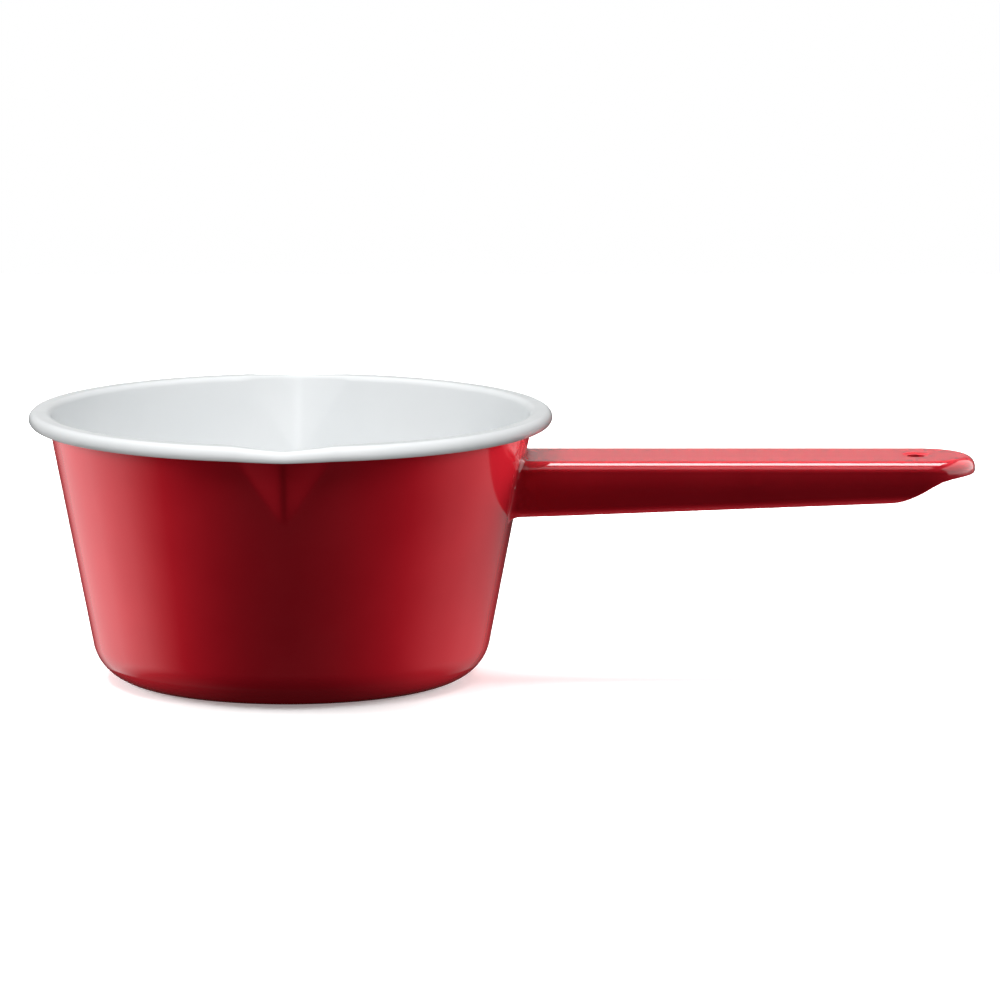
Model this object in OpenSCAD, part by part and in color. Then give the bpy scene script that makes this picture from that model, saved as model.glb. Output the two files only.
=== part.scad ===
/* [Bowl] */
// Outside diameter of the rolled rim, mm
rim_d = 155; // [154:0.5:156]
// Height from the underside to the top of the rim, mm
pot_h = 80; // [79:0.5:81]
// Lean of the wall away from upright, degrees
wall_lean = 10.85; // [10.4:0.05:11.2]
// Outside radius between floor and wall, mm
corner_r = 13.4; // [12:0.2:15]
// Thickness of the pressed steel, mm
steel_t = 0.8; // [0.7:0.05:0.9]
// Thickness of each coat of enamel, mm
coat_t = 0.2; // [0.15:0.05:0.25]

/* [Rim] */
// Width of the rolled rim from the mouth to its outer edge, mm
bead_w = 6.9; // [6.7:0.1:7.1]
// Height of the rolled rim, mm
bead_h = 4.4; // [4.2:0.1:4.6]

/* [Pouring lips] */
// How far each lip is pressed outward at the rim, mm
lip_out = 5.2; // [4:0.1:5.3]
// Height of the lower point of each lip above the underside, mm
lip_foot = 57; // [56:0.5:59]
// Half width gained by a lip for each mm it rises
lip_spread = 0.66; // [0.6:0.02:0.76]

/* [Handle] */
// Distance from the bowl's axis to the tip of the handle, mm
handle_reach = 202.6; // [195:0.5:210]
// Width of the handle, mm
handle_w = 32; // [30:0.5:34]
// Height of the handle's top face above the underside, mm
handle_z = 66.3; // [65:0.1:67]
// Depth of the handle at the wall, mm
handle_h1 = 16.8; // [15:0.1:17]
// Depth of the handle where its underside ends, mm
handle_h2 = 12.6; // [12:0.1:13.5]
// Radius of the handle's long edges, mm
handle_r = 3.4; // [3:0.1:3.8]
// Diameter of the hanging hole, mm
hole_d = 5.2; // [4.8:0.1:5.6]
// Diameter of the pressed dimple round the hanging hole, mm
dimple_d = 9.2; // [8:0.1:10]
// Size of the weld fillet round the root of the handle, mm
weld_f = 1.2; // [1:0.1:1.5]

/* [Hidden] */
$fn = 72;

steel_grey = [0.32, 0.33, 0.36];
white_glaze = [0.90, 0.91, 0.93];
red_glaze = [0.62, 0.05, 0.07];

// Depths are counted into the metal from the white face.
full_t = steel_t + 2 * coat_t;
steel_in = coat_t;
steel_out = coat_t + steel_t;

rim_r = rim_d / 2;
ws = tan(wall_lean);
white_r0 = rim_r - bead_w - ws * (pot_h - bead_h / 2);
turn_r = corner_r - full_t;
turn_x = white_r0 + ws * corner_r - turn_r / cos(wall_lean);
rim_low = pot_h - bead_h;

// The lips are pressed into two wedges of the bowl, whose sides lie at a 7:24:25 slope.
wedge_c = 0.96;
wedge_s = 0.28;
wedge_a = atan2(wedge_s, wedge_c);
wedge_x = 28.8;
lip_rise = lip_out / (pot_h - 3 - lip_foot);
lip_side = lip_rise / lip_spread;
lip_dip = 0.9;
lip_push = 2.1;
steps = [0, 0.35, 0.8, 1.4, 2.3, 3.5, 5, 6.6, 8.3, 10, 11.8, 13.8];
fan = concat([for (i = [0 : len(steps) - 1]) -steps[len(steps) - 1 - i]],
             [for (i = [1 : len(steps) - 1]) steps[i]]);
turns = concat([-wedge_a], fan, [wedge_a]);
wall_z = [50, 56, 60, 64, 68, 72, rim_low - 0.4, rim_low + 1.2];

function ease(t) = let (u = max(0, min(1, t))) u * u * (3 - 2 * u);
function soft(x, e) = 0.5 * (x + sqrt(x * x + e * e));
// Outward shift of the wall at an angle from the middle of a lip and a height
function shift(a, z) =
    let (s = 72 * abs(a) * PI / 180, ridge = sqrt(s * s + 1.44) - 1.2)
    soft(lip_rise * (z - lip_foot) - lip_side * ridge, 0.8)
    * (1 - ease((abs(a) - 11) / (wedge_a - 11))) * ease((z - 50) / 9);
function tilt(a, z) = ws + (shift(a, z + 0.2) - shift(a, z - 0.2)) / 0.4;
function grid(p) = [round(p[0] * 100) / 100, round(p[1] * 100) / 100];

function turn_pts(q) = [for (i = [0 : 7]) let (a = -90 + i * (90 - wall_lean) / 7)
    [turn_x + (turn_r + q) * cos(a), corner_r + (turn_r + q) * sin(a)]];
function wall_pts(a, q) = [for (z = wall_z) let (s = tilt(a, z), n = sqrt(1 + s * s))
    [white_r0 + ws * z + shift(a, z) + q / n, z - q * s / n]];
function rim_pts(a, q) =
    let (w = shift(a, pot_h - 3) / lip_out,
         h = bead_h - lip_dip * w, b = h / 2, zc = rim_low + b,
         s = tilt(a, zc), f = atan(s),
         xl = white_r0 + ws * zc + shift(a, zc) + b / cos(f),
         xr = rim_r + lip_push * w - b,
         ze = rim_low + steel_out,
         xe = white_r0 + ws * ze + shift(a, ze) + full_t / cos(f) + 0.25)
    concat([for (i = [0 : 4]) let (t = 180 - f - i * (90 - f) / 4) [xl + (b - q) * cos(t), zc + (b - q) * sin(t)]],
           [for (i = [0 : 9]) let (t = 90 - i * 20) [xr + (b - q) * cos(t), zc + (b - q) * sin(t)]],
           [[xe, rim_low + q]]);
// Half section of a coat face at depth q, without its first point on the floor
function face_pts(a, q, with_rim) = [for (p = concat(turn_pts(q), wall_pts(a, q), with_rim ? rim_pts(a, q) : []))
    grid(p)];

// One layer of the bowl between depths q1 and q2: turned all round, with a pressed wedge for each lip
module layer(q1, q2, with_rim) {
    p1 = face_pts(wedge_a, q1, with_rim);
    p2 = face_pts(wedge_a, q2, with_rim);
    n = len(p1);
    difference() {
        rotate([0, 0, 180]) rotate_extrude() polygon(concat([[0, full_t - q1]], p1, [for (i = [n - 1 : -1 : 0]) p2[i]], [[0, full_t - q2]]));
        for (side = [-90, 90]) rotate([0, 0, side]) translate([0, 0, -1]) linear_extrude(pot_h + 2)
            polygon([[wedge_x, -8.4], [100 * wedge_c, -100 * wedge_s], [100 * wedge_c, 100 * wedge_s], [wedge_x, 8.4]]);
    }
    for (side = [-90, 90]) rotate([0, 0, side]) lip_wedge(q1, q2, with_rim);
}

function wedge_loop(a, q1, q2, with_rim) =
    let (c = abs(a) == wedge_a ? wedge_c : cos(a), s = abs(a) == wedge_a ? sign(a) * wedge_s : sin(a),
         x0 = wedge_x, y0 = abs(a) == wedge_a ? sign(a) * 8.4 : wedge_x * s / c,
         p1 = face_pts(a, q1, with_rim), p2 = face_pts(a, q2, with_rim), n = len(p1))
    concat([[x0, y0, full_t - q1]], [for (p = p1) [p[0] * c, p[0] * s, p[1]]],
           [for (i = [n - 1 : -1 : 0]) [p2[i][0] * c, p2[i][0] * s, p2[i][1]]], [[x0, y0, full_t - q2]]);

module lip_wedge(q1, q2, with_rim) {
    loops = [for (a = turns) wedge_loop(a, q1, q2, with_rim)];
    m = len(loops);
    k = len(loops[0]);
    h = k / 2;
    pts = [for (l = loops) for (p = l) p];
    skin = [for (j = [0 : m - 2]) for (i = [0 : k - 1]) let (i2 = (i + 1) % k, a = j * k + i, b = j * k + i2,
        c = (j + 1) * k + i2, d = (j + 1) * k + i) each [[a, c, b], [a, d, c]]];
    start = [for (i = [0 : h - 2]) [i, i + 1, k - 2 - i, k - 1 - i]];
    close = [for (i = [0 : h - 2]) [for (v = [i, k - 1 - i, k - 2 - i, i + 1]) v + (m - 1) * k]];
    polyhedron(pts, concat(skin, start, close), convexity = 6);
}

// Everything inside a face of the wall at depth q, for trimming the handle
module bowl_body(q) {
    p = face_pts(wedge_a, q, false);
    rotate([0, 0, 180]) rotate_extrude() polygon(concat([[0, full_t - q]], p, [[0, p[len(p) - 1][1]]]));
}

// Handle
tip_x = handle_reach - handle_w / 2;
root_x = 60;
close_x = 177.5;
wall_x = white_r0 + ws * (handle_z - handle_h1 / 2) + full_t;
sag = atan((handle_h1 - handle_h2) / (close_x - wall_x));
mid_z = handle_z - 8;
hole_x = handle_reach - 17.6;
dimple_h = 0.35;

// Rounded bar section, w wide, from the top down to below the middle height, with corner radius r
module bar_top(w, r, low) {
    union() {
        translate([-w / 2 + r, -r]) square([w - 2 * r, r]);
        translate([-w / 2, low]) square([w, -r - low]);
        for (s = [-1, 1]) intersection() {
            translate([s * (w / 2 - r), -r]) circle(r);
            translate([s > 0 ? w / 2 - r : -w / 2, -r]) square([r, r]);
        }
    }
}

// Solid outline of the handle, k inside its finished outer face
module handle_body(k) {
    w = handle_w - 2 * k;
    r = handle_r - k;
    intersection() {
        translate([root_x, 0, handle_z - k]) rotate([90, 0, 90])
            linear_extrude(tip_x - root_x) bar_top(w, r, -30);
        translate([wall_x, 0, handle_z - handle_h1 + k]) rotate([0, -sag, 0]) translate([-30, 0, 0])
            rotate([90, 0, 90]) linear_extrude(tip_x - wall_x + 60) mirror([0, 1]) bar_top(w, r, -40);
    }
    translate([tip_x, 0, handle_z - k]) rotate([0, 0, -90]) rotate_extrude(angle = 180) intersection() {
        bar_top(w, r, -14);
        translate([0, -40]) square([60, 60]);
    }
}

// What is cut away below the handle near its tip, leaving the walls to sweep up to a shallow rim
module tip_cut(c) {
    translate([0, 0, c]) rotate([90, 0, 0]) linear_extrude(80, center = true)
        polygon([[close_x - c, 30], [close_x - c, handle_z - 12], [close_x + 3 - c, handle_z - 11.6],
            [close_x + 7.5, handle_z - 10.2], [close_x + 11.5, handle_z - 7.9], [close_x + 15, handle_z - 6],
            [close_x + 18, handle_z - 5.3], [close_x + 30, handle_z - 4.6], [close_x + 60, handle_z - 4.6],
            [close_x + 60, 30]]);
}

// Rounded mouth where the two underside flanges end
module mouth_cut(c) {
    w = handle_w / 2 - handle_r + c;
    r = 6 + c;
    translate([close_x - c, -w, 40]) cube([60, 2 * w, mid_z - 40]);
    translate([close_x - r, r - w, 40]) cube([60, 2 * (w - r), mid_z - 40]);
    for (s = [-1, 1]) translate([close_x - c, s * (w - r), 40]) cylinder(h = mid_z - 40, r = r);
}

// Narrow slit where the flanges meet along the underside
module seam(c) {
    translate([root_x, -0.2 - c, 30]) cube([200, 0.4 + 2 * c, 25.5]);
}

module dimple(k) {
    translate([hole_x, 0, handle_z - k - dimple_h]) cylinder(h = dimple_h, r1 = hole_d / 2 + 0.6, r2 = dimple_d / 2);
}

// Wall of the handle from depth k to the same depth under its inner face, with its free edges c back
module handle_shell(k, c) {
    difference() {
        union() {
            difference() {
                handle_body(k);
                handle_body(full_t - k);
            }
            intersection() {
                handle_body(k + 0.01);
                translate([hole_x, 0, handle_z - dimple_h - full_t + k]) cylinder(h = 3, r = dimple_d / 2 + 1 - k);
            }
        }
        dimple(k);
        tip_cut(c);
        mouth_cut(c);
        seam(c);
        translate([hole_x, 0, handle_z - 6]) cylinder(h = 12, r = hole_d / 2 + c);
    }
}

// Fillet between handle and wall, grown by c over the bare metal, in three small steps
module weld_zone(c) {
    for (i = [1 : 3]) intersection() {
        handle_body(coat_t - c - weld_f * i / 3);
        bowl_body(steel_out + c + weld_f * (4 - i) / 3);
    }
}

module bowl_steel() {
    color(steel_grey) layer(steel_in, steel_out, true);
}

module lining_enamel() {
    color(white_glaze) layer(0, coat_t, true);
}

module outer_enamel() {
    color(red_glaze) difference() {
        layer(steel_out, full_t, false);
        handle_body(0);
        weld_zone(coat_t);
    }
}

module handle_steel() {
    color(steel_grey) difference() {
        handle_shell(coat_t, coat_t);
        bowl_body(steel_out);
    }
}

module handle_enamel() {
    color(red_glaze) difference() {
        union() {
            handle_shell(0, 0);
            difference() {
                weld_zone(coat_t);
                handle_body(coat_t);
            }
        }
        handle_shell(coat_t, coat_t);
        bowl_body(steel_out);
        weld_zone(0);
    }
}

module handle_weld() {
    color(steel_grey) difference() {
        weld_zone(0);
        handle_body(coat_t);
        bowl_body(steel_out);
    }
}

bowl_steel();
lining_enamel();
outer_enamel();
handle_steel();
handle_enamel();
handle_weld();
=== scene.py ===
import math

import bmesh
import bpy
import numpy as np
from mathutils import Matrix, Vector


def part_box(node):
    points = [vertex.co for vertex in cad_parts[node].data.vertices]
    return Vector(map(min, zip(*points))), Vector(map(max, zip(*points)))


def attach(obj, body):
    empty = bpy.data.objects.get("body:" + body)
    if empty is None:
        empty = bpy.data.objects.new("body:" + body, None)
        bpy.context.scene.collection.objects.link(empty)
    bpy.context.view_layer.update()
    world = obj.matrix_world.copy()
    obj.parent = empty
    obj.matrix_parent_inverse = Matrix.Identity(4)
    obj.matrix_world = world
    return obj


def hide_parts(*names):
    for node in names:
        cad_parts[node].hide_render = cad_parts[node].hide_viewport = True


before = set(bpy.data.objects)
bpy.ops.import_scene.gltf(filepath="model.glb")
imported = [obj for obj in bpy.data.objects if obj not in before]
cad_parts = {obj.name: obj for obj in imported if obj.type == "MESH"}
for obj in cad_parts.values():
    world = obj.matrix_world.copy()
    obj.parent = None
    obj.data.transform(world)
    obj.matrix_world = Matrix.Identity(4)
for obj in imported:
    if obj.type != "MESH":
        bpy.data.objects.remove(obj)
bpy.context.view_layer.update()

MM = 0.001

# ---------------------------------------------------------------------------
# Sizes in millimetres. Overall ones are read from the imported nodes, the others repeat part.scad's.
# ---------------------------------------------------------------------------
lining_lo, lining_hi = (np.array(v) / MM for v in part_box("lining_enamel"))
tube_lo, tube_hi = (np.array(v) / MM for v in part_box("handle_steel"))
COAT = 0.2
STEEL = 0.8
FULL = STEEL + 2 * COAT
RIM_R = float(lining_hi[0])
POT_H = float(lining_hi[2])
HANDLE_REACH = float(tube_hi[0]) + COAT
HANDLE_TOP = float(tube_hi[2]) + COAT
HANDLE_W2 = float(tube_hi[1]) + COAT

WALL_LEAN = 10.85
LEAN = math.tan(math.radians(WALL_LEAN))
COS_LEAN = math.cos(math.radians(WALL_LEAN))
CORNER = 13.4
BEAD_W = 6.9
BEAD_H = 4.4
WHITE_R0 = RIM_R - BEAD_W - LEAN * (POT_H - BEAD_H / 2)
TURN_R = CORNER - FULL
TURN_X = WHITE_R0 + LEAN * CORNER - TURN_R / COS_LEAN
RIM_LOW = POT_H - BEAD_H

LIP_OUT = 5.2
LIP_FOOT = 57.0
LIP_SPREAD = 0.66
LIP_TOP = POT_H - 3
LIP_RISE = LIP_OUT / (LIP_TOP - LIP_FOOT)
LIP_SIDE = LIP_RISE / LIP_SPREAD
LIP_HALF = math.degrees(math.atan2(7, 24))
LIP_DIP = 0.9
LIP_PUSH = 2.1
# Radius at which a lip's width is counted, and rounding of its ridge and of the creases beside it
LIP_R = 72
RIDGE_R = 1.2
CREASE_SOFT = 0.45
# A lip fades out from this angle on, in degrees, and grows in over LIP_GROW above LIP_START
LIP_FADE = 11
LIP_START = 50
LIP_GROW = 9


def ease(t):
    u = min(1.0, max(0.0, t))
    return u * u * (3 - 2 * u)


def soft(x, e):
    return 0.5 * (x + math.sqrt(x * x + e * e))


# ---------------------------------------------------------------------------
# Bowl: half sections at an angle, offset q into the metal from the white face
# ---------------------------------------------------------------------------
def lip_angle(theta):
    """Signed angle in degrees from the middle of the nearer pouring lip."""
    return (theta % 180.0) - 90.0


def lip_shift(a, z):
    """Outward shift of the wall at an angle from the middle of a lip and a height."""
    s = LIP_R * abs(math.radians(a))
    ridge = math.sqrt(s * s + RIDGE_R ** 2) - RIDGE_R
    push = soft(LIP_RISE * (z - LIP_FOOT) - LIP_SIDE * ridge, CREASE_SOFT)
    fade = 1 - ease((abs(a) - LIP_FADE) / (LIP_HALF - LIP_FADE))
    return push * fade * ease((z - LIP_START) / LIP_GROW)


def lip_tilt(a, z):
    """Slope of the wall at that angle and height, outward shift per mm of height."""
    return LEAN + (lip_shift(a, z + 0.2) - lip_shift(a, z - 0.2)) / 0.4


WALL_Z = list(np.linspace(14, 46, 9)) + list(np.linspace(49, 75, 27)) + [75.9, RIM_LOW + 1.2]


def floor_pts(q):
    return [(TURN_X * t, FULL - q) for t in (0, 0.12, 0.25, 0.4, 0.55, 0.7, 0.82, 0.92)]


def turn_pts(q):
    out = []
    for i in range(19):
        a = math.radians(-90 + i * (90 - WALL_LEAN) / 18)
        out.append((TURN_X + (TURN_R + q) * math.cos(a), CORNER + (TURN_R + q) * math.sin(a)))
    return out


def wall_pts(a, q):
    out = []
    for z in WALL_Z:
        s = lip_tilt(a, z)
        n = math.sqrt(1 + s * s)
        out.append((WHITE_R0 + LEAN * z + lip_shift(a, z) + q / n, z - q * s / n))
    return out


def rim_pts(a, q):
    w = lip_shift(a, LIP_TOP) / LIP_OUT
    h = BEAD_H - LIP_DIP * w
    b = h / 2
    zc = RIM_LOW + b
    f = math.atan(lip_tilt(a, zc))
    xl = WHITE_R0 + LEAN * zc + lip_shift(a, zc) + b / math.cos(f)
    xr = RIM_R + LIP_PUSH * w - b
    ze = RIM_LOW + COAT + STEEL
    xe = WHITE_R0 + LEAN * ze + lip_shift(a, ze) + FULL / math.cos(f) + 0.25
    out = []
    for i in range(11):
        t = math.pi - f - i * (math.pi / 2 - f) / 10
        out.append((xl + (b - q) * math.cos(t), zc + (b - q) * math.sin(t)))
    for i in range(1, 4):
        out.append((xl + (xr - xl) * i / 4, zc + b - q))
    for i in range(25):
        t = math.pi / 2 - i * math.pi / 24
        out.append((xr + (b - q) * math.cos(t), zc + (b - q) * math.sin(t)))
    out.append((0.5 * (xr + xe), RIM_LOW + q))
    out.append((xe, RIM_LOW + q))
    return out


def half_section(a, q, with_rim):
    return floor_pts(q) + turn_pts(q) + wall_pts(a, q) + (rim_pts(a, q) if with_rim else [])


def around():
    """Angles round the bowl, closer together at the two lips."""
    turns = []
    for base in (0.0, 180.0):
        turns += [base + v for v in np.arange(0, 74, 1.5)]
        turns += [base + v for v in np.arange(74, 106, 0.5)]
        turns += [base + v for v in np.arange(106, 180, 1.5)]
    return turns


def finish_mesh(name, verts, faces, smooth_angle=35):
    mesh = bpy.data.meshes.new(name)
    mesh.from_pydata([tuple(float(c) * MM for c in v) for v in verts], [], faces)
    bm = bmesh.new()
    bm.from_mesh(mesh)
    bmesh.ops.remove_doubles(bm, verts=bm.verts, dist=2e-6)
    bmesh.ops.dissolve_degenerate(bm, edges=bm.edges, dist=1e-6)
    bmesh.ops.recalc_face_normals(bm, faces=bm.faces)
    bm.to_mesh(mesh)
    bm.free()
    for p in mesh.polygons:
        p.use_smooth = True
    mesh.set_sharp_from_angle(angle=math.radians(smooth_angle))
    obj = bpy.data.objects.new(name, mesh)
    bpy.context.scene.collection.objects.link(obj)
    return obj


def bowl_layer(name, q1, q2, with_rim):
    """Closed shell of revolution between two depths, with the lips pressed in."""
    turns = around()
    verts, faces = [], []
    for theta in turns:
        a = lip_angle(theta)
        loop = half_section(a, q1, with_rim) + half_section(a, q2, with_rim)[::-1]
        k = len(loop)
        c, s = math.cos(math.radians(theta)), math.sin(math.radians(theta))
        verts += [(r * c, r * s, z) for r, z in loop]
    m = len(turns)
    for j in range(m):
        j2 = (j + 1) % m
        for i in range(k - 1):
            faces.append((j * k + i, j2 * k + i, j2 * k + i + 1, j * k + i + 1))
    return finish_mesh(name, verts, faces, 50)


# ---------------------------------------------------------------------------
# Handle: half sections along the plan outline, as distances d in from it and heights z
# ---------------------------------------------------------------------------
HANDLE_H1 = 16.8
HANDLE_H2 = 12.6
TIP_X = HANDLE_REACH - HANDLE_W2
HOLE_X = HANDLE_REACH - 17.6
HOLE_R = 2.6
EDGE_R = 3.4
HALF_T = FULL / 2
MOUTH_X = 177.5
MOUTH_L = 8.0
ROOT_X = WHITE_R0 + LEAN * (HANDLE_TOP - HANDLE_H1 / 2) + FULL
SAG = (HANDLE_H1 - HANDLE_H2) / (MOUTH_X - ROOT_X)
# Rise of the free lower edge above the mouth, at nine distances from the bowl's axis. These were read
# along the reference view's outline at even steps, so they are a sampled outline and not a formula.
SWEEP = [(177.5, 0.0), (180.5, 0.75), (183.5, 1.95), (186.4, 3.4), (189.4, 5.1), (192.3, 6.5), (195.2, 7.1),
         (198.0, 7.4), (202.6, 7.6)]
PATCH_R = 6.0
DIMPLE_H = 0.35
FLARE = 2.2
SIDE_SWELL = 0.5

# Root stations: steps out from the bowl's wall, of which ROOT_SPAN reach to ROOT_END
ROOT_END = 80.0
ROOT_SPAN = 10.0
ROOT_STEPS = [0, 0.06, 0.14, 0.25, 0.4, 0.6, 0.85, 1.15, 1.5, 2.2, 3.2, 5, 7.5]
# Further stations along the side, closer together where the mouth begins, then a fan round the tip
SIDE_STEPS = list(np.linspace(ROOT_END, 162, 22)) + [165.0, 167.5, 169.3, 169.7, 170.3, 171.0, 171.8]
FAN_X = 172.6
FAN_STEPS = 56
# Points of a section's outer face: top, long edge, side, lower corner and underside
TOP_N, EDGE_N, SIDE_N, CORNER_N, PLATE_N = 10, 13, 9, 11, 8
CAP_N = 8


def under_z(x):
    return HANDLE_TOP - HANDLE_H1 + SAG * (x - ROOT_X)


def edge_z(x):
    """Height of the handle's free lower edge beyond the mouth."""
    xs = [p[0] for p in SWEEP]
    zs = [p[1] for p in SWEEP]
    return under_z(MOUTH_X) + float(np.interp(x, xs, zs))


def mid_line(x):
    """Middle of the sheet at a station, long edge to underside, as ((depth, height), outward normal)."""
    r_mid = EDGE_R - HALF_T
    zc = under_z(x) + EDGE_R
    z_top = HANDLE_TOP - EDGE_R
    plate_end = HANDLE_W2 - 0.2 - HALF_T
    turn = math.pi / 2
    wall_low = zc
    if x > MOUTH_X - MOUTH_L:
        t = min(1.0, (MOUTH_X - x) / MOUTH_L)
        y_end = (HANDLE_W2 - EDGE_R) * math.sqrt(max(0.0, 1 - t * t)) if t > 0 else HANDLE_W2 - EDGE_R
        plate_end = min(plate_end, HANDLE_W2 - y_end)
    if x > MOUTH_X:
        u = zc - (edge_z(x) + HALF_T)
        turn = math.asin(min(1.0, max(0.0, u / r_mid)))
        if u < 0:
            wall_low = edge_z(x) + HALF_T
    mid = []
    for i in range(EDGE_N):
        al = i / (EDGE_N - 1) * math.pi / 2
        place_at = (EDGE_R - r_mid * math.sin(al), z_top + r_mid * math.cos(al))
        mid.append((place_at, (-math.sin(al), math.cos(al))))
    swell = SIDE_SWELL * ((z_top - wall_low) / 10.0) ** 2
    for i in range(1, SIDE_N + 1):
        u = 2 * i / (SIDE_N + 1) - 1
        place_at = (HALF_T - swell * (1 - u * u), z_top + (wall_low - z_top) * i / (SIDE_N + 1))
        mid.append((place_at, (-1.0, 0.0)))
    for i in range(CORNER_N):
        al = i / (CORNER_N - 1) * turn
        place_at = (EDGE_R - r_mid * math.cos(al), wall_low - r_mid * math.sin(al))
        mid.append((place_at, (-math.cos(al), -math.sin(al))))
    (d_end, z_end), n_end = mid[-1]
    closed = turn == math.pi / 2 and plate_end > EDGE_R
    for i in range(1, PLATE_N + 1):
        if closed:
            mid.append(((EDGE_R + (plate_end - EDGE_R) * i / PLATE_N, z_end), (0.0, -1.0)))
        else:
            mid.append(((d_end, z_end), n_end))
    return mid


def section(x, k):
    """Path round a station: outer face, free edge, inner face back, as (depth, height, on outer face)."""
    mid = mid_line(x)
    h = HALF_T - k
    (de, ze), (nd, nz) = mid[-1]
    td, tz = -nz, nd
    cap = []
    for i in range(1, CAP_N):
        b = i / CAP_N * math.pi
        cap.append((de + h * (nd * math.cos(b) + td * math.sin(b)),
                    ze + h * (nz * math.cos(b) + tz * math.sin(b)), False))
    outer = [(p[0] + n[0] * h, p[1] + n[1] * h, True) for p, n in mid]
    inner = [(p[0] - n[0] * h, p[1] - n[1] * h, False) for p, n in reversed(mid)]
    return outer + cap + inner


def stations():
    """Stations of the half with y < 0: root step or None, outline point, inward normal, inner end."""
    out = []
    for tau in ROOT_STEPS:
        x = ROOT_X + tau * (ROOT_END - ROOT_X) / ROOT_SPAN
        out.append((tau, (x, -HANDLE_W2), (0.0, 1.0), (x, 0.0)))
    for x in SIDE_STEPS:
        out.append((None, (float(x), -HANDLE_W2), (0.0, 1.0), (float(x), 0.0)))
    straight = TIP_X - FAN_X
    total = straight + HANDLE_W2 * math.pi / 2
    for j in range(FAN_STEPS + 1):
        s = total * j / FAN_STEPS
        phi = math.pi + math.pi * j / FAN_STEPS
        point, normal = (FAN_X + s, -HANDLE_W2), (0.0, 1.0)
        if s > straight:
            al = (s - straight) / HANDLE_W2
            point = (TIP_X + HANDLE_W2 * math.sin(al), -HANDLE_W2 * math.cos(al))
            normal = (-math.sin(al), math.cos(al))
        out.append((None, point, normal, (HOLE_X + PATCH_R * math.cos(phi), PATCH_R * math.sin(phi))))
    return out


def top_line(inner_pt, outer_pt, count):
    return [(inner_pt[0] + (outer_pt[0] - inner_pt[0]) * i / count,
             inner_pt[1] + (outer_pt[1] - inner_pt[1]) * i / count) for i in range(count)]


def bowl_outer_x(y, z):
    r = WHITE_R0 + LEAN * z + FULL / COS_LEAN
    return math.sqrt(max(1.0, r * r - y * y))


def flare_at(tau, size):
    if tau >= size or size <= 0:
        return 0.0
    return size - math.sqrt(size * size - (size - tau) ** 2)


def ripple(y, z):
    """Uneven build-up of the weld round the root."""
    return 0.88 + 0.10 * math.sin(0.9 * y + 0.4 * z) + 0.10 * math.sin(2.3 * y - 1.1 * z + 1.0)


def outward(d, z, x):
    """Direction (y, z) out of the outer face at a depth and height: up, out to the side, down, or between."""
    if d >= EDGE_R - 1e-6:
        return (0.0, 1.0) if z > under_z(ROOT_X) + 8 else (0.0, -1.0)
    if z > HANDLE_TOP - EDGE_R:
        v = Vector((-(EDGE_R - d), z - (HANDLE_TOP - EDGE_R)))
    elif z < under_z(x) + EDGE_R:
        v = Vector((-(EDGE_R - d), z - (under_z(x) + EDGE_R)))
    else:
        return -1.0, 0.0
    v.normalize()
    return v.x, v.y


def root_row(row, sec, tau, flare, toe):
    """A root station's points, flared outward and set off from the bowl's curved wall."""
    out = []
    for i, (x, y, z, on_outer) in enumerate(row):
        if on_outer and flare > 0:
            dy, dz = (0.0, 1.0) if i < TOP_N else outward(sec[i - TOP_N][0], sec[i - TOP_N][1], x)
            f = flare_at(tau + toe, flare * ripple(y, z))
            y, z = y + dy * f, z + dz * f
        start = bowl_outer_x(y, z)
        reach = ROOT_END - start
        if tau > 2:
            x = start + tau * reach / ROOT_SPAN
        else:
            x = start + tau + (reach / ROOT_SPAN - 1) * tau * ease(tau / 2)
        out.append((x, y, z))
    return out


def handle_half(k, flare, toe):
    """Rows of points of one half of a wrapped handle face, k inside the finished face all round."""
    rows = []
    for tau, (ox, oy), (nx, ny), inner_end in stations():
        sec = section(ox, k)
        line = top_line(inner_end, (ox + nx * EDGE_R, oy + ny * EDGE_R), TOP_N)
        row = [(x, y, HANDLE_TOP - k, True) for x, y in line]
        row += [(ox + nx * d, oy + ny * d, z, on_outer) for d, z, on_outer in sec]
        row += [(x, y, HANDLE_TOP - FULL + k, False) for x, y in reversed(line)]
        if tau is None:
            rows.append([(x, y, z) for x, y, z, _ in row])
        else:
            rows.append(root_row(row, sec, tau, flare, toe))
    return rows


def dimple_rows(k):
    """Rings of the pressed dimple and hole, from the patch edge in to the hole and back underneath."""
    h = HALF_T - k
    rows = []
    for j in range(FAN_STEPS + 1):
        phi = math.pi + math.pi * j / FAN_STEPS
        mid = []
        for i in range(15):
            rho = PATCH_R + (HOLE_R + HALF_T - PATCH_R) * i / 14
            drop = DIMPLE_H * ease((4.7 - rho) / 1.3)
            slope = DIMPLE_H * (ease((4.65 - rho) / 1.3) - ease((4.75 - rho) / 1.3)) / 0.1
            nn = math.hypot(1, slope)
            mid.append(((rho, HANDLE_TOP - HALF_T - drop), (slope / nn, 1 / nn)))
        path = [(p[0] + m[0] * h, p[1] + m[1] * h) for p, m in mid]
        (re, ze), (mr, mz) = mid[-1]
        for i in range(1, CAP_N):
            b = i / CAP_N * math.pi
            square = max(abs(math.cos(b)), abs(math.sin(b))) ** -0.8
            tr, tz = -mz * square, mr * square
            mr_s, mz_s = mr * square, mz * square
            path.append((re + h * (mr_s * math.cos(b) + tr * math.sin(b)),
                         ze + h * (mz_s * math.cos(b) + tz * math.sin(b))))
        path += [(p[0] - m[0] * h, p[1] - m[1] * h) for p, m in reversed(mid)]
        rows.append([(HOLE_X + r * math.cos(phi), r * math.sin(phi), z) for r, z in path])
    return rows


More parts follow.
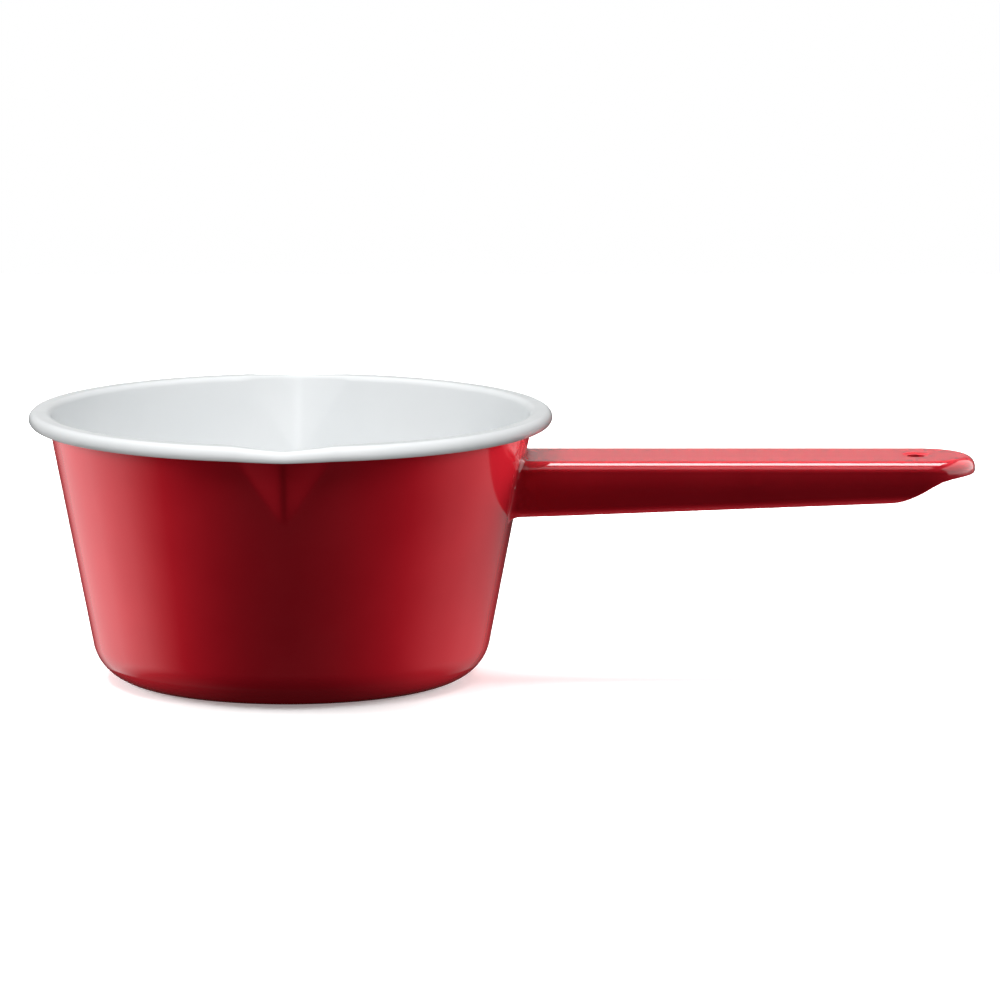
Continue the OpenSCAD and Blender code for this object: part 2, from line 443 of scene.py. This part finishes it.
def grid_faces(rows, start, flip):
    faces = []
    k = len(rows[0])
    for j in range(len(rows) - 1):
        for i in range(k - 1):
            a = start + j * k + i
            q = (a, a + k, a + k + 1, a + 1)
            faces.append(q[::-1] if flip else q)
    return faces


def handle_face(k, flare, toe):
    """Both halves of a wrapped face: vertices, faces, and the root's two open edges."""
    verts, faces, roots = [], [], []
    half = handle_half(k, flare, toe)
    dim = dimple_rows(k)
    for side in (1, -1):
        for rows in (half, dim):
            start = len(verts)
            for row in rows:
                verts += [(x, y * side, z) for x, y, z in row]
            faces += grid_faces(rows, start, side < 0)
            if rows is half:
                roots.append([start + i for i in range(len(rows[0]))])
    return verts, faces, roots


def shell_of_handle(name, outer, inner):
    """Closed piece between two wrapped faces, joined where both meet the bowl."""
    v1, f1, r1 = outer
    v2, f2, r2 = inner
    off = len(v1)
    verts = v1 + v2
    faces = f1 + [tuple(i + off for i in f) for f in f2]
    for a, b in zip(r1, r2):
        for i in range(len(a) - 1):
            faces.append((a[i], a[i + 1], b[i + 1] + off, b[i] + off))
    return finish_mesh(name, verts, faces, 40)


def closed_tube(name, face):
    """Closed piece inside one wrapped face, capped across the wall thickness at the root."""
    verts, faces, roots = face
    for r in roots:
        n = len(r)
        for i in range(n // 2 - 1):
            faces.append((r[i], r[i + 1], r[n - 2 - i], r[n - 1 - i]))
    return finish_mesh(name, verts, faces, 40)


def weld_ring(name):
    """Bead between the bare tube and the coat's flare, following the tube's outside round the root."""
    rows_in = handle_half(COAT, 0, 0)
    rows_out = handle_half(COAT, FLARE, 0.2)
    keep = TOP_N + EDGE_N + SIDE_N + CORNER_N + PLATE_N
    steps = 8
    verts, faces = [], []
    for side in (1, -1):
        start = len(verts)
        for j in range(steps):
            verts += [(x, y * side, z) for x, y, z in rows_in[j][:keep]]
        for j in range(steps):
            verts += [(x, y * side, z) for x, y, z in rows_out[j][:keep]]
        off = steps * keep
        for j in range(steps - 1):
            for i in range(keep - 1):
                a = start + j * keep + i
                faces.append((a, a + keep, a + keep + 1, a + 1))
                b = start + off + j * keep + i
                faces.append((b, b + 1, b + keep + 1, b + keep))
        for i in range(keep - 1):
            faces.append((start + i, start + i + 1, start + off + i + 1, start + off + i))
            e = (steps - 1) * keep
            faces.append((start + e + i, start + e + i + 1, start + off + e + i + 1, start + off + e + i))
        for j in range(steps - 1):
            a = start + j * keep + keep - 1
            b = start + off + j * keep + keep - 1
            faces.append((a, a + keep, b + keep, b))
    return finish_mesh(name, verts, faces, 40)


# ---------------------------------------------------------------------------
# Materials
# ---------------------------------------------------------------------------
def new_material(name):
    mat = bpy.data.materials.new(name)
    mat.use_nodes = True
    nt = mat.node_tree
    nt.nodes.clear()
    out = nt.nodes.new("ShaderNodeOutputMaterial")
    bsdf = nt.nodes.new("ShaderNodeBsdfPrincipled")
    nt.links.new(bsdf.outputs["BSDF"], out.inputs["Surface"])
    coord = nt.nodes.new("ShaderNodeTexCoord")
    return mat, nt, bsdf, coord


def noise(nt, coord, scale, detail=2.0, rough=0.5):
    n = nt.nodes.new("ShaderNodeTexNoise")
    n.inputs["Scale"].default_value = scale
    n.inputs["Detail"].default_value = detail
    n.inputs["Roughness"].default_value = rough
    nt.links.new(coord.outputs["Object"], n.inputs["Vector"])
    return n


def ramp(nt, src, stops):
    r = nt.nodes.new("ShaderNodeValToRGB")
    els = r.color_ramp.elements
    while len(els) < len(stops):
        els.new(0.5)
    for e, (pos, col) in zip(els, stops):
        e.position = pos
        e.color = col
    nt.links.new(src, r.inputs["Fac"])
    return r


def mix_colour(nt, fac, a, b):
    m = nt.nodes.new("ShaderNodeMix")
    m.data_type = "RGBA"
    nt.links.new(fac, m.inputs["Factor"])
    for value, socket in ((a, m.inputs[6]), (b, m.inputs[7])):
        if isinstance(value, tuple):
            socket.default_value = value
        else:
            nt.links.new(value, socket)
    return m.outputs[2]


def bump_stack(nt, bsdf, layers):
    """Layers of (height output, strength, distance in metres), fine over coarse."""
    last = None
    for src, strength, distance in layers:
        b = nt.nodes.new("ShaderNodeBump")
        b.inputs["Strength"].default_value = strength
        b.inputs["Distance"].default_value = distance
        nt.links.new(src, b.inputs["Height"])
        if last:
            nt.links.new(last.outputs["Normal"], b.inputs["Normal"])
        last = b
    nt.links.new(last.outputs["Normal"], bsdf.inputs["Normal"])


def range_map(nt, src, lo, hi, to_lo, to_hi):
    m = nt.nodes.new("ShaderNodeMapRange")
    for key, v in (("From Min", lo), ("From Max", hi), ("To Min", to_lo), ("To Max", to_hi)):
        m.inputs[key].default_value = v
    nt.links.new(src, m.inputs["Value"])
    return m.outputs["Result"]


def product(nt, a, b):
    m = nt.nodes.new("ShaderNodeMath")
    m.operation = "MULTIPLY"
    nt.links.new(a, m.inputs[0])
    nt.links.new(b, m.inputs[1])
    return m.outputs[0]


def red_enamel():
    mat, nt, bsdf, coord = new_material("red_enamel_gloss")
    cloud = noise(nt, coord, 28, 3)
    base = ramp(nt, cloud.outputs["Fac"], [(0.35, (0.475, 0.0105, 0.0200, 1)),
                                           (0.65, (0.525, 0.0135, 0.0240, 1))])
    # pin-point specks in the glaze, a few on the whole pot
    cells = nt.nodes.new("ShaderNodeTexVoronoi")
    cells.inputs["Scale"].default_value = 95
    cells.inputs["Randomness"].default_value = 1.0
    nt.links.new(coord.outputs["Object"], cells.inputs["Vector"])
    dot = ramp(nt, cells.outputs["Distance"], [(0.0, (1, 1, 1, 1)), (0.035, (0, 0, 0, 1))])
    pick = ramp(nt, cells.outputs["Color"], [(0.965, (0, 0, 0, 1)), (0.97, (1, 1, 1, 1))])
    both = product(nt, dot.outputs["Color"], pick.outputs["Color"])
    colour = mix_colour(nt, both, base.outputs["Color"], (0.62, 0.42, 0.40, 1))
    nt.links.new(colour, bsdf.inputs["Base Color"])
    rough = noise(nt, coord, 60, 2)
    nt.links.new(range_map(nt, rough.outputs["Fac"], 0.3, 0.7, 0.085, 0.125), bsdf.inputs["Roughness"])
    bsdf.inputs["IOR"].default_value = 1.52
    bsdf.inputs["Coat Weight"].default_value = 0.35
    bsdf.inputs["Coat Roughness"].default_value = 0.03
    peel = noise(nt, coord, 420, 2)
    wave = noise(nt, coord, 55, 1)
    # creases of the weld under the glaze, in a narrow band at the handle's root
    crease = noise(nt, coord, 380, 0, 0.5)
    crease.inputs["Distortion"].default_value = 0.6
    place_x = nt.nodes.new("ShaderNodeSeparateXYZ")
    nt.links.new(coord.outputs["Object"], place_x.inputs["Vector"])
    root = ROOT_X * MM
    near = range_map(nt, place_x.outputs["X"], root - 0.003, root - 0.0005, 0, 1)
    far = range_map(nt, place_x.outputs["X"], root + 0.0015, root + 0.0045, 1, 0)
    band = product(nt, product(nt, near, far), crease.outputs["Fac"])
    bump_stack(nt, bsdf, [(wave.outputs["Fac"], 0.035, 0.0012), (peel.outputs["Fac"], 0.02, 0.00012),
                          (band, 0.5, 0.0007)])
    return mat


def white_enamel():
    mat, nt, bsdf, coord = new_material("white_enamel_gloss")
    cloud = noise(nt, coord, 22, 3)
    base = ramp(nt, cloud.outputs["Fac"], [(0.35, (0.760, 0.785, 0.795, 1)),
                                           (0.65, (0.795, 0.812, 0.820, 1))])
    nt.links.new(base.outputs["Color"], bsdf.inputs["Base Color"])
    rough = noise(nt, coord, 60, 2)
    nt.links.new(range_map(nt, rough.outputs["Fac"], 0.3, 0.7, 0.17, 0.23), bsdf.inputs["Roughness"])
    bsdf.inputs["IOR"].default_value = 1.52
    peel = noise(nt, coord, 380, 2)
    wave = noise(nt, coord, 50, 1)
    bump_stack(nt, bsdf, [(wave.outputs["Fac"], 0.10, 0.0012), (peel.outputs["Fac"], 0.05, 0.00012)])
    return mat


def bare_steel():
    mat, nt, bsdf, coord = new_material("pressed_steel")
    cloud = noise(nt, coord, 90, 4)
    base = ramp(nt, cloud.outputs["Fac"], [(0.3, (0.07, 0.072, 0.08, 1)), (0.7, (0.13, 0.132, 0.14, 1))])
    nt.links.new(base.outputs["Color"], bsdf.inputs["Base Color"])
    bsdf.inputs["Metallic"].default_value = 0.9
    grain = noise(nt, coord, 300, 3)
    nt.links.new(range_map(nt, grain.outputs["Fac"], 0.3, 0.7, 0.35, 0.55), bsdf.inputs["Roughness"])
    bump_stack(nt, bsdf, [(grain.outputs["Fac"], 0.15, 0.0002)])
    return mat


RED = red_enamel()
WHITE = white_enamel()
STEEL_MAT = bare_steel()


def place(obj, mat, slot, *nodes):
    obj.data.materials.append(mat)
    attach(obj, "root")
    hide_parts(*nodes)
    return obj


place(bowl_layer("bowl_steel_pressing", COAT, COAT + STEEL, True), STEEL_MAT, "steel", "bowl_steel")
place(bowl_layer("bowl_white_enamel", 0.0, COAT, True), WHITE, "white_enamel", "lining_enamel")
place(bowl_layer("bowl_red_enamel", COAT + STEEL, FULL, False), RED, "red_enamel", "outer_enamel")

place(shell_of_handle("handle_red_enamel", handle_face(0.0, FLARE, 0.0), handle_face(COAT, FLARE, 0.2)),
      RED, "red_enamel", "handle_enamel")
place(closed_tube("handle_steel_tube", handle_face(COAT, 0.0, 0.0)), STEEL_MAT, "steel", "handle_steel")
place(weld_ring("handle_weld_bead"), STEEL_MAT, "steel", "handle_weld")


# ---------------------------------------------------------------------------
# Stage, light and camera
# ---------------------------------------------------------------------------
FLOOR_GLOW = 0.24
STUDIO_LEVEL = 1.02


def plane(name, size, location, rotation):
    bpy.ops.mesh.primitive_plane_add(size=size, location=location, rotation=rotation)
    obj = bpy.context.object
    obj.name = name
    return obj


floor = plane("floor", 1.9, (0, 0, 0), (0, 0, 0))
floor_mat, _, floor_shader, _ = new_material("pale_floor")
floor_shader.inputs["Base Color"].default_value = (0.96, 0.96, 0.96, 1)
floor_shader.inputs["Roughness"].default_value = 0.8
floor_shader.inputs["Specular IOR Level"].default_value = 0.1
floor_shader.inputs["Emission Color"].default_value = (1, 1, 1, 1)
floor_shader.inputs["Emission Strength"].default_value = FLOOR_GLOW
floor.data.materials.append(floor_mat)
# the studio's own light round and below the pot is the world's, not the floor's
floor.visible_diffuse = False
floor.visible_glossy = False
floor.visible_shadow = False


def shade_disc(name, radius, z):
    """Black disc under the floor, hidden from the camera: painted shade that stands in for the pot's shadow
    on the floor and darkens what reaches the pot from below.
    """
    bpy.ops.mesh.primitive_circle_add(vertices=96, radius=radius, fill_type="NGON", location=(0, 0, z))
    obj = bpy.context.object
    obj.name = name
    mat, _, shader, _ = new_material(name + "_black")
    shader.inputs["Base Color"].default_value = (0.004, 0.004, 0.004, 1)
    shader.inputs["Roughness"].default_value = 1.0
    obj.data.materials.append(mat)
    obj.visible_camera = False
    return obj


# painted shade under the pot: the near disc darkens both the light and the reflections from below, the wide
# one only the reflections
shade_disc("shade_near", 0.046, -0.0005)
shade_wide = shade_disc("shade_wide", 0.058, -0.0010)
shade_wide.visible_diffuse = False
shade_wide.visible_shadow = False

world = bpy.data.worlds.new("studio")
bpy.context.scene.world = world
world.use_nodes = True
wn = world.node_tree
wn.nodes.clear()
w_out = wn.nodes.new("ShaderNodeOutputWorld")
w_bg = wn.nodes.new("ShaderNodeBackground")
w_coord = wn.nodes.new("ShaderNodeTexCoord")
w_sep = wn.nodes.new("ShaderNodeSeparateXYZ")
wn.links.new(w_coord.outputs["Generated"], w_sep.inputs["Vector"])


def along(axis, stops):
    """Brightness of the studio along one axis of direction, from (direction, brightness) stops."""
    shift = range_map(wn, w_sep.outputs[axis], -1, 1, 0, 1)
    return ramp(wn, shift, [((d + 1) / 2, (v, v, v, 1)) for d, v in stops]).outputs["Color"]


depth = along("Y", [(-1, 0.0), (-0.34, 0.0), (-0.18, 0.22), (0.06, 0.67), (0.44, 1.0),
                    (0.85, 0.76), (1, 0.66)])
width = along("X", [(-0.35, 1.0), (0.35, 0.34)])
height = along("Z", [(-0.62, 0.10), (-0.47, 1.0), (-0.05, 1.0), (0.25, 0.70)])
behind = along("Y", [(0.82, 0.0), (0.93, 1.0)])
below = along("Z", [(-0.02, 1.0), (0.06, 0.0)])
low_back = range_map(wn, product(wn, behind, below), 0, 1, 1.0, 0.12)
graded = product(wn, product(wn, product(wn, depth, width), height), low_back)
w_scale = wn.nodes.new("ShaderNodeMath")
w_scale.operation = "MULTIPLY"
w_scale.inputs[1].default_value = STUDIO_LEVEL
wn.links.new(graded, w_scale.inputs[0])
# plain white where the camera looks past the pot, graded where the pot mirrors it
w_path = wn.nodes.new("ShaderNodeLightPath")
seen = mix_colour(wn, w_path.outputs["Is Camera Ray"], w_scale.outputs[0], (1, 1, 1, 1))
wn.links.new(seen, w_bg.inputs["Color"])
wn.links.new(w_bg.outputs["Background"], w_out.inputs["Surface"])


def area(name, loc, target, size, power):
    data = bpy.data.lights.new(name, "AREA")
    data.shape = "RECTANGLE"
    data.size, data.size_y = size
    data.energy = power
    obj = bpy.data.objects.new(name, data)
    obj.location = loc
    obj.rotation_euler = (Vector(target) - Vector(loc)).to_track_quat("-Z", "Y").to_euler()
    bpy.context.scene.collection.objects.link(obj)
    return obj


SOFTBOXES = [
    # pieces lit, then name, place, aimed at, size, watts
    ("red", "left_softbox", (-1.5, 0.30, 0.35), (0, 0, 0.04), (1.0, 0.8), 46),
    ("red", "top_softbox", (0.0, 0.20, 1.5), (0, 0, 0.04), (1.7, 0.8), 46),
    ("pot", "right_softbox", (1.5, 0.34, 0.35), (0, 0, 0.04), (1.0, 0.8), 44),
    ("pot", "front_softbox", (0.0, -0.85, 1.35), (0, 0, 0.04), (1.4, 0.8), 8),
    ("pot", "low_fill", (0.0, -1.3, -0.45), (0, 0, 0.06), (1.6, 1.0), 2.8),
    ("white", "white_front", (0.0, -1.1, 1.3), (0, 0, 0.06), (2.2, 1.4), 32.5),
    ("white", "white_top", (0.0, 0.10, 1.5), (0, 0, 0.06), (2.0, 1.7), 10.5),
    ("white", "white_fill", (0.0, -1.3, -0.45), (0, 0, 0.06), (1.6, 1.0), 9),
    ("handle", "handle_right", (1.3, 0.20, 0.5), (0.15, 0, 0.05), (2.6, 1.4), 20),
    ("handle", "handle_front", (0.0, -0.85, 1.35), (0.1, 0, 0.04), (1.4, 0.8), 4.5),
    ("handle", "handle_bounce", (0.15, 0.25, -0.9), (0.14, 0, 0.05), (1.2, 0.8), 13),
]


def receivers(name, state, pieces):
    """Collection that a light reaches alone, or that it leaves out."""
    group = bpy.data.collections.new(name)
    for piece in pieces:
        group.objects.link(bpy.data.objects[piece])
    for entry in group.collection_objects:
        entry.light_linking.link_state = state
    return group


REACH = {
    "red": receivers("all_but_white", "EXCLUDE", ["bowl_white_enamel"]),
    "pot": receivers("all_but_white_and_handle", "EXCLUDE", ["bowl_white_enamel", "handle_red_enamel"]),
    "white": receivers("white_alone", "INCLUDE", ["bowl_white_enamel"]),
    "handle": receivers("handle_alone", "INCLUDE", ["handle_red_enamel"]),
}
NO_GLINT = ("low_fill", "white_front", "white_fill", "handle_bounce")
for reach, name, place_at, target, size, watts in SOFTBOXES:
    light = area(name, place_at, target, size, watts)
    light.light_linking.receiver_collection = REACH[reach]
    light.visible_glossy = name not in NO_GLINT

CAMERA_AT = (0.0619, -1.9764, 0.3698)
CAMERA_DOWN = 9.115
cam_data = bpy.data.cameras.new("camera")
cam_data.lens = 243.1
cam_data.sensor_width = 36
cam_data.clip_end = 50
cam = bpy.data.objects.new("camera", cam_data)
cam.location = CAMERA_AT
cam.rotation_euler = (math.radians(90 - CAMERA_DOWN), 0, 0)
bpy.context.scene.collection.objects.link(cam)
bpy.context.scene.camera = cam

bpy.context.scene.view_settings.view_transform = "Standard"
